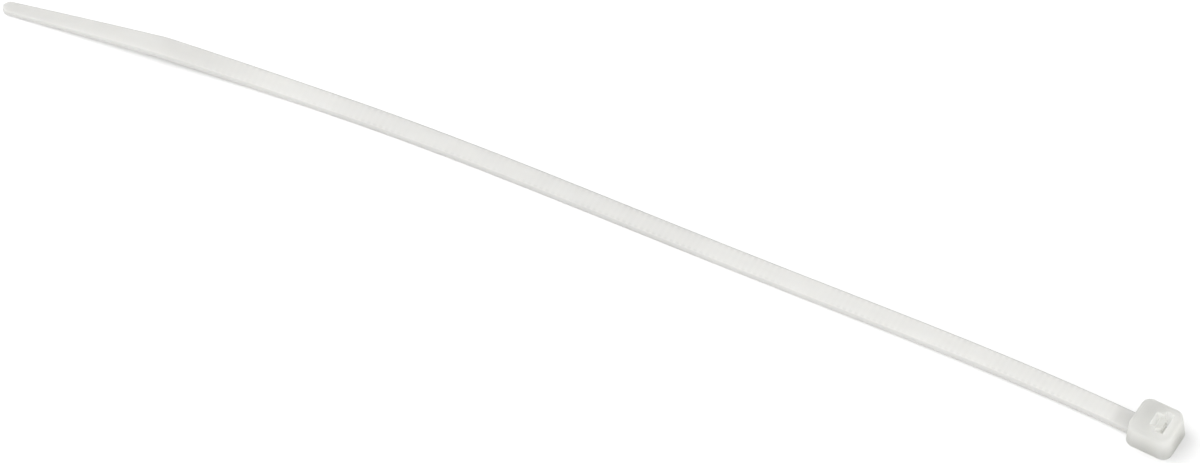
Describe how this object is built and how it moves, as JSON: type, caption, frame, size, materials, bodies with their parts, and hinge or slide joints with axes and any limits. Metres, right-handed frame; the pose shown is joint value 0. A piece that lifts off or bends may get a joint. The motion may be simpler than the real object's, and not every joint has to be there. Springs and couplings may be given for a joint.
{
  "type": "cable tie",
  "caption": "Self-locking cable tie moulded in one piece, with a ratchet pawl in its head, a toothed strap and a tapered tail.",
  "frame": {"origin": "centre of the strap passage on the head's entry face", "axes": "+X to the outer end of the head, so the strap runs toward -X; +Z along the passage to the exit face; the toothed side of the strap faces -Z"},
  "size_m": [0.1989, 0.0221, 0.0048],
  "materials": {
    "nylon": "natural milky nylon, smooth and slightly translucent"
  },
  "bodies": {
    "root": {"cable_tie": "nylon"}
  },
  "joints": []
}
